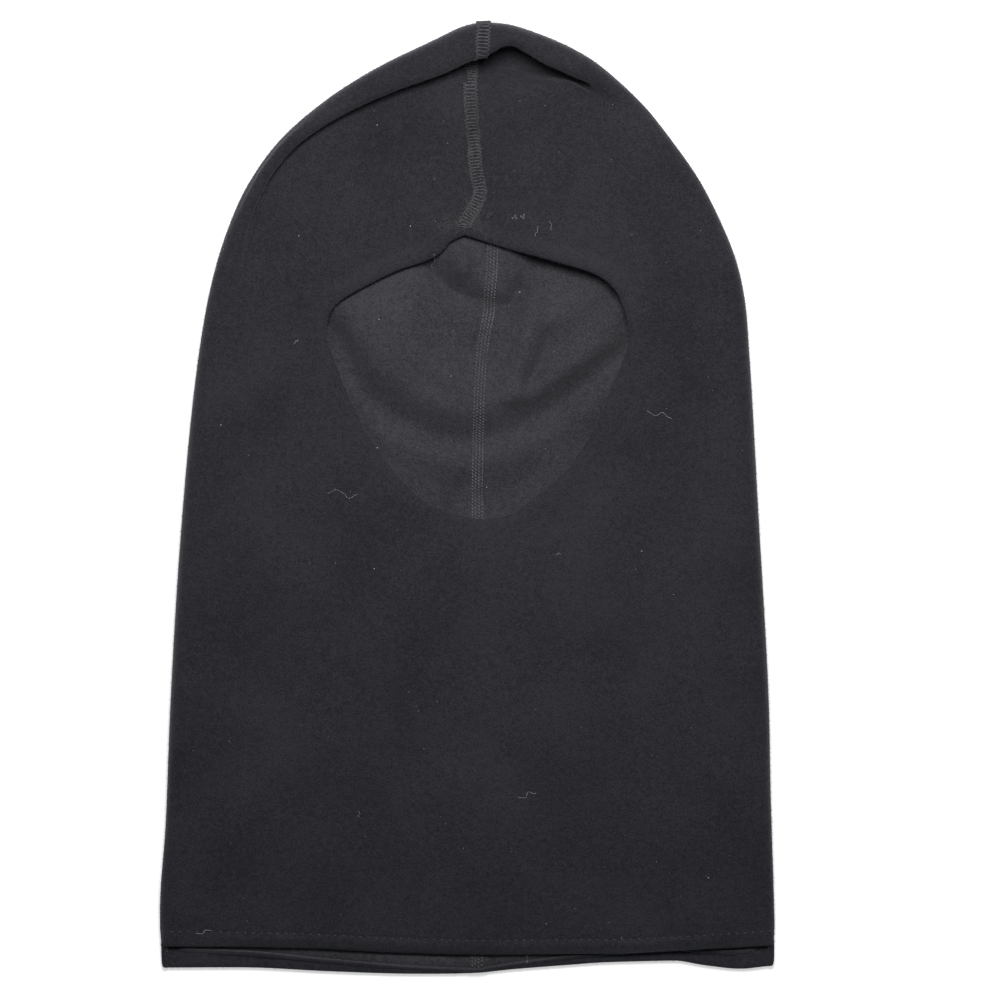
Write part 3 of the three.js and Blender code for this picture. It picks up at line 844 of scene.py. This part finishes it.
thread = {                                         # of the seam over the crown and down the back
    "radius": 0.19,
    "rung": 1.4,                                   # one crossing of the cover thread
    "needleRows": (-2.05, -0.65, 0.75, 2.15),
    "needleRadius": 0.27,
    "bead": 1.42,
    "looperRadius": 0.1,
    "looperReach": 2.5,
    "sway": 0.24,                                  # of a chain to each side
}

hemThread = {
    "radius": 0.17,
    "chainRadius": 0.136,
    "stitch": 3.5,
    "crest": 0.1,                                 # height of the visible part above the cloth
    "trough": -0.7,
    "shown": 0.2,                                  # less is a shorter visible part
    "sway": 0.35,                                  # of the chain inside
    "sunk": 0.16,                                  # of the chain in the neck hem
    "faceCrest": -0.3,                             # the pile hides most of the stitches round the face
}

pile = {"count": 26000, "length": (0.5, 1.3), "radius": 0.035, "lean": 0.55}


def tubes(paths, ups, radius, sides=5):            # closed tubes along equally long rows of points
    paths = np.asarray(paths, float)
    along = unit(np.gradient(paths, axis=1))
    across = unit(np.cross(along, ups))
    up = np.cross(across, along)
    turns = np.arange(sides) * 2 * math.pi / sides
    radii = np.broadcast_to(np.asarray(radius, float), paths.shape[:2])[..., None, None]
    ring = across[:, :, None] * np.cos(turns)[:, None] + up[:, :, None] * np.sin(turns)[:, None]
    verts = paths[:, :, None] + ring * radii
    many, rows = paths.shape[:2]
    ids = np.arange(many * rows * sides).reshape(many, rows, sides)
    after = np.roll(ids, -1, axis=2)
    quads = np.stack([ids[:, :-1], after[:, :-1], after[:, 1:], ids[:, 1:]], axis=-1).reshape(-1, 4)
    caps = np.concatenate([ids[:, 0, ::-1], ids[:, -1]])
    return verts.reshape(-1, 3), quads.tolist() + caps.tolist()


def stitched(name, paths, ups, radius, slotName, material, node):
    thing = newObject(name, *tubes(paths, ups, radius), slotName)
    thing.data.materials.append(material)
    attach(thing, "root")
    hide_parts(node)


# the seam's own line, up the back, over the crown and down to the face opening
seamIds = list(index[-1][:lastRow, 0]) + list(index[-1][lastRow])
seamIds = seamIds + list(index[-1][topRow:lastRow, acrossLast][::-1])
seamLine = points[seamIds]
seamAlong = distancesAlong(seamLine)
seamLength = seamAlong[-1] - turn - halfHem
seamSteps = np.arange(0, seamLength, 0.7)
seamPoints = steadied(pointsAt(seamLine, seamSteps), 3)
seamUps = steadied(valuesAt(normals[seamIds], seamAlong, seamSteps), 3)


def onSeam(across, along, height):                 # height is from the cloth's middle, outwards
    p = pointsAt(seamPoints, along)
    up = unit(valuesAt(seamUps, distancesAlong(seamPoints), along))
    ahead = unit(pointsAt(seamPoints, along + 0.6) - pointsAt(seamPoints, along - 0.6))
    side = unit(np.cross(ahead, up))
    return p + side * np.asarray(across)[..., None] + up * np.asarray(height)[..., None], up


random = np.random.default_rng(7)
seamGrey = threadMaterial("seam_thread_grey", threadColour["seam"])
hemGrey = threadMaterial("hem_thread_grey", threadColour["hem"])
chainGrey = threadMaterial("seam_chain_grey", threadColour["chain"])
teasedGrey = threadMaterial("seam_end_grey", threadColour["teased"])

# cover thread: rungs across the seam with a small loop at each end
halfCycle = [(-2.3, 0, 0.05), (-1.1, 0.1, 0.16), (0, 0.2, 0.18), (1.1, 0.3, 0.16), (2.3, 0.4, 0.1),
             (2.95, 0.62, 0.1), (2.75, 1.0, 0.14), (2.3, 1.15, 0.2), (2.1, 0.9, 0.22), (2.3, 1.38, 0.12)]
rungs = int((seamLength - 3) / thread["rung"])
covers = []
for first in (1, -1):
    path = []
    for k in range(rungs):
        flip = first if k % 2 == 0 else -first
        jitter = random.normal(0, 0.05, 3)
        path += [(flip * a * (1 + jitter[0]), 2 + (k + b / 1.4) * thread["rung"] + jitter[1],
                  h * (1 + 0.3 * first) + 0.05 * jitter[2]) for a, b, h in halfCycle]
    covers.append(path)
covers = np.array(covers)
coverPoints, coverUps = onSeam(covers[..., 0], covers[..., 1], half + thread["radius"] * 0.8 + covers[..., 2])
stitched("seam_cover", coverPoints, coverUps, thread["radius"], "seam_thread", seamGrey, "seam_cover_thread")

# needle chains and the looper on the inside
beadSteps = np.arange(2, seamLength - 0.5, thread["bead"] / 6)
for k, row in enumerate(thread["needleRows"]):
    phase = 2 * math.pi * (beadSteps / thread["bead"] + 0.37 * k)
    across = row + thread["sway"] * np.sin(phase) + 0.05 * np.sin(beadSteps / 17 + k)
    bead = np.cos(phase)
    chain, ups = onSeam(across, beadSteps, -half - 0.1 - 0.2 * bead)
    stitched("seam_needle_" + str(k + 1), [chain], [ups], [thread["needleRadius"] * (0.74 + 0.38 * bead)],
             "seam_thread", chainGrey, "seam_needle_thread_" + str(k + 1))
looperSteps = np.arange(2, seamLength - 0.5, thread["bead"] / 4)
phase = 2 * math.pi * looperSteps / thread["bead"]
looper, ups = onSeam(thread["looperReach"] * np.sin(phase / 2), looperSteps, -half - 0.02 + 0 * phase)
stitched("seam_looper", [looper], [ups], thread["looperRadius"], "seam_thread", seamGrey,
         "seam_looper_thread")

# neck hem: a row of short stitches outside and a chain inside
stitchRow = int(np.argmin(abs(hemRows - cloth["hemStitch"])))
neckIds = wholeRow(stitchRow)


def hemStitches(line, ups, name, node, shownHeight, chainHeight):
    total = distancesAlong(line)[-1]
    count = int(total / hemThread["stitch"])
    steps = np.linspace(0, total, count * 10 + 1)
    place = pointsAt(line, steps)
    up = unit(valuesAt(ups, distancesAlong(line), steps))
    wave = np.cos(2 * math.pi * steps / total * count)
    shown = smooth(hemThread["shown"], 0.75, wave)
    outer = shownHeight + hemThread["trough"] * (1 - shown)
    shownRow = place + up * outer[:, None]
    stitched(name + "_needle", [shownRow], [up], hemThread["radius"], "hem_thread", hemGrey,
             node + "_needle_thread")
    side = unit(np.cross(np.gradient(place, axis=0), up))
    sway = hemThread["sway"] * np.sin(4 * math.pi * steps / total * count)
    chain = place + up * chainHeight + side * sway[:, None]
    stitched(name + "_looper", [chain], [up], hemThread["chainRadius"], "hem_thread", hemGrey,
             node + "_looper_thread")


hemStitches(points[neckIds], normals[neckIds], "neck_hem", "bottom_hem", halfHem + hemThread["crest"],
            hemThread["sunk"] - 2 * turn - halfHem)

# height of the cloth from above, for what lies on it
tree = BVHTree.FromPolygons([tuple(p) for p in verts], allFaces)


def heightAt(x, y):
    hit = tree.ray_cast(Vector((float(x), float(y), 60)), Vector((0, 0, -1)))
    return (hit[0].z, np.array(hit[1])) if hit[0] else (0.0, np.array((0, 0, 1.0)))


edge = points[faceLoop]
stitchLine = edge.copy()
stitchLine[:, :2] += outward * (cloth["faceStitch"] - turn - halfHem)
stitchLine = steadied(np.vstack([stitchLine, stitchLine[:1]]), 6)
stitchLine[:, 2] = [heightAt(p[0], p[1])[0] for p in stitchLine]
straightUp = np.tile((0, 0, 1.0), (len(stitchLine), 1))
hemStitches(stitchLine, straightUp, "face_hem", "face_hem", hemThread["faceCrest"],
            -2 * turn - 2 * halfHem - 0.1)
print("seam and hems sewn")

def looseFibres(name, paths, radius, slotName, material):
    ups = np.tile((0, 0, 1.0), (len(paths), 14, 1))
    thing = newObject(name, *tubes(paths, ups, radius, 4), slotName)
    thing.data.materials.append(material)
    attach(thing, "root")


# loose fibres and specks that cling to the pile
fibres = [                                         # middle, length, direction in degrees, and curl
    ((-53.8, 1.5), 13, -14, 1.1), ((82, 35.3), 11, -12, 0.9), ((25.4, -127.5), 8, 20, 0.9),
    ((-14.6, 100.8), 6, 75, 0.5), ((29.6, 113.6), 4.5, 70, 0.3), ((35.6, 116), 4.5, 100, 0.3),
    ((25.4, -198.4), 3.5, 92, 0.1), ((-113.1, -186.4), 7, 18, 0.5), ((-73.5, 66.4), 2.4, 40, 0.3),
    ((38.7, -24.3), 2.2, 10, 0.3), ((-46.4, -135.7), 2.6, 80, 0.3), ((20, 119.6), 2.2, 0, 0.8),
    ((23.7, 119.8), 2.2, 30, 0.8),
]
lintSize = {"dust": 110, "fibre": 0.07, "speck": 0.24, "dustSize": 0.09}
specks = [(-38.7, 158.9), (-72.2, 111.6), (-105.4, 30.7), (-40, -30.7), (-38.9, 21.1), (-38, 75.9),
          (22.3, 87.9), (-7.1, 51.7), (8.1, 4.2), (74.4, -23.2), (-24.5, 115.8), (103, -163)]
lintPaths = []
for middle, long, direction, curl in fibres:
    t = np.linspace(-0.5, 0.5, 14)
    a = math.radians(direction)
    sway = curl * (np.sin(t * 9 + middle[0]) + 0.35 * np.sin(t * 17))
    x = middle[0] + long * t * math.cos(a) - sway * math.sin(a)
    y = middle[1] + long * t * math.sin(a) + sway * math.cos(a)
    lintPaths.append([(u, v, heightAt(u, v)[0] + 0.22 + 0.12 * math.sin(5 * w)) for u, v, w in zip(x, y, t)])
for x, y in specks:
    t = np.linspace(-0.5, 0.5, 14)
    a = random.uniform(0, math.pi)
    top = heightAt(x, y)[0] + 0.2
    lintPaths.append([(x + 0.5 * u * math.cos(a), y + 0.5 * u * math.sin(a), top) for u in t])
for _ in range(lintSize["dust"]):
    x, y = random.uniform(-118, 118), random.uniform(-190, 185)
    top, up = heightAt(x, y)
    if top < 3 or up[2] < 0.6:
        continue
    a, long = random.uniform(0, math.pi), random.uniform(0.15, 0.5)
    lintPaths.append([(x + long * u * math.cos(a), y + long * u * math.sin(a), top + 0.12)
                      for u in np.linspace(-0.5, 0.5, 14)])
dustCount = len(lintPaths) - len(fibres) - len(specks)
lintRadii = np.repeat([lintSize["fibre"], lintSize["speck"], lintSize["dustSize"]],
                      [len(fibres), len(specks), dustCount])
lintWhite = threadMaterial("lint_white", threadColour["lint"])
looseFibres("lint", lintPaths, lintRadii[:, None], "hem_thread", lintWhite)

# thread ends and teased pile where the seam meets the face opening
teased = {"count": 210, "along": 1500, "reach": 110, "radius": 0.07}
tangle = []
for k in range(teased["count"]):
    x, y = random.normal(-4, 6), random.normal(117.5, 2.6)
    if k % 3 == 0:
        x, y = random.normal(2, 3.6), random.normal(123, 5)
    if openingFacts(np.array([x]), np.array([y]))[0][0] < 2.2:
        continue
    a, long, curl = random.uniform(0, math.pi), random.uniform(0.8, 3.2), random.uniform(0.1, 0.7)
    t = np.linspace(-0.5, 0.5, 14)
    sway = curl * np.sin(t * random.uniform(5, 11) + random.uniform(0, 6))
    u = x + long * t * math.cos(a) - sway * math.sin(a)
    v = y + long * t * math.sin(a) + sway * math.cos(a)
    tangle.append([(p, q, heightAt(p, q)[0] + 0.1 + 0.15 * math.sin(7 * w)) for p, q, w in zip(u, v, t)])
for _ in range(teased["along"]):                   # and fine fibres all along the cover thread
    t = np.linspace(-0.5, 0.5, 14)
    turnBy, long = random.uniform(0, math.pi), random.uniform(0.5, 1.7)
    across = random.choice((-1, 1)) * random.uniform(0, 3.4) ** 0.9 + long * t * math.cos(turnBy)
    along = random.uniform(seamLength - teased["reach"], seamLength - 3) + long * t * math.sin(turnBy)
    tangle.append(onSeam(across, along, half + 0.45 + 0.12 * np.sin(8 * t))[0].tolist())
looseFibres("seam_end_tangle", tangle, teased["radius"], "seam_thread", teasedGrey)

# short pile standing off the cloth, thick where it shows against the light
skin = np.array(allFaces[:outerCount])
a, b, c, d = (verts[skin[:, k]] for k in range(4))
cross = np.cross(c - a, d - b)
faceArea = np.linalg.norm(cross, axis=1) / 2
faceUp = cross / np.maximum(2 * faceArea[:, None], 1e-9)
weight = faceArea * (0.16 + 1.5 * smooth(0.55, 0.1, np.abs(faceUp[:, 2]))) * (faceUp[:, 2] > -0.75)
chosen = random.choice(len(skin), pile["count"], p=weight / weight.sum())
u, v = random.uniform(0, 1, (2, pile["count"], 1))
root = (a[chosen] * (1 - u) + b[chosen] * u) * (1 - v) + (d[chosen] * (1 - u) + c[chosen] * u) * v
lean = unit(faceUp[chosen] + random.normal(0, pile["lean"], (pile["count"], 3)))
long = random.uniform(*pile["length"], (pile["count"], 1))
wide = pile["radius"]
sideA = unit(np.cross(lean, random.normal(0, 1, (pile["count"], 3))))
sideB = np.cross(lean, sideA)
base = root - faceUp[chosen] * 0.1
hairs = np.stack([base + sideA * wide, base - sideA * wide / 2 + sideB * wide * 0.87,
                  base - sideA * wide / 2 - sideB * wide * 0.87, root + lean * long], axis=1)
hairs = hairs[hairs[:, :, 2].min(axis=1) > 0.05]
ids = np.arange(len(hairs) * 4).reshape(-1, 4)
hairFaces = np.concatenate([ids[:, [0, 1, 3]], ids[:, [1, 2, 3]], ids[:, [2, 0, 3]], ids[:, [2, 1, 0]]])
fuzz = newObject("pile_fuzz", hairs.reshape(-1, 3), hairFaces.tolist(), "fleece", False)
fuzz.data.materials.append(threadMaterial("pile_fibre", threadColour["pile"]))
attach(fuzz, "root")
print("lint and pile made")


studio = {
    "floor": (0.93, 0.93, 0.93, 1),
    "glow": 0.55,                                  # the paper is lit through from below
    "key": {"place": (20, 335, 730), "size": 360, "power": 6.5, "colour": (1, 0.98, 0.96)},
    "sky": ((0.86, 0.93, 1.0, 1), 0.12),
}

floorMesh = bpy.data.meshes.new("floor")
reach = 6000 * mm
floorMesh.from_pydata([(-reach, -reach, 0), (reach, -reach, 0), (reach, reach, 0), (-reach, reach, 0)], [],
                      [(0, 1, 2, 3)])
floor = bpy.data.objects.new("floor", floorMesh)
floor.location.z = -0.4 * mm
bpy.context.scene.collection.objects.link(floor)
floorShader = Shader("floor_paper", Roughness=0.9, Base_Color=studio["floor"], Emission_Color=(1, 1, 1, 1),
                     Emission_Strength=studio["glow"])
grain = floorShader.noise(floorShader.place(), 3)
floorShader.set("Normal", floorShader.bump(grain, 0.02))
floor.data.materials.append(floorShader.material)

key = bpy.data.lights.new("key", "AREA")
key.shape = "DISK"
key.size = studio["key"]["size"] * mm
key.energy = studio["key"]["power"]
key.color = studio["key"]["colour"]
keyObject = bpy.data.objects.new("key", key)
keyObject.location = [v * mm for v in studio["key"]["place"]]
keyObject.rotation_euler = (-keyObject.location).to_track_quat("-Z", "Y").to_euler()
bpy.context.scene.collection.objects.link(keyObject)

world = bpy.data.worlds.new("world")
world.use_nodes = True
world.node_tree.nodes["Background"].inputs["Color"].default_value = studio["sky"][0]
world.node_tree.nodes["Background"].inputs["Strength"].default_value = studio["sky"][1]
bpy.context.scene.world = world
bpy.context.scene.view_settings.view_transform = "Standard"

print("floor and light set")
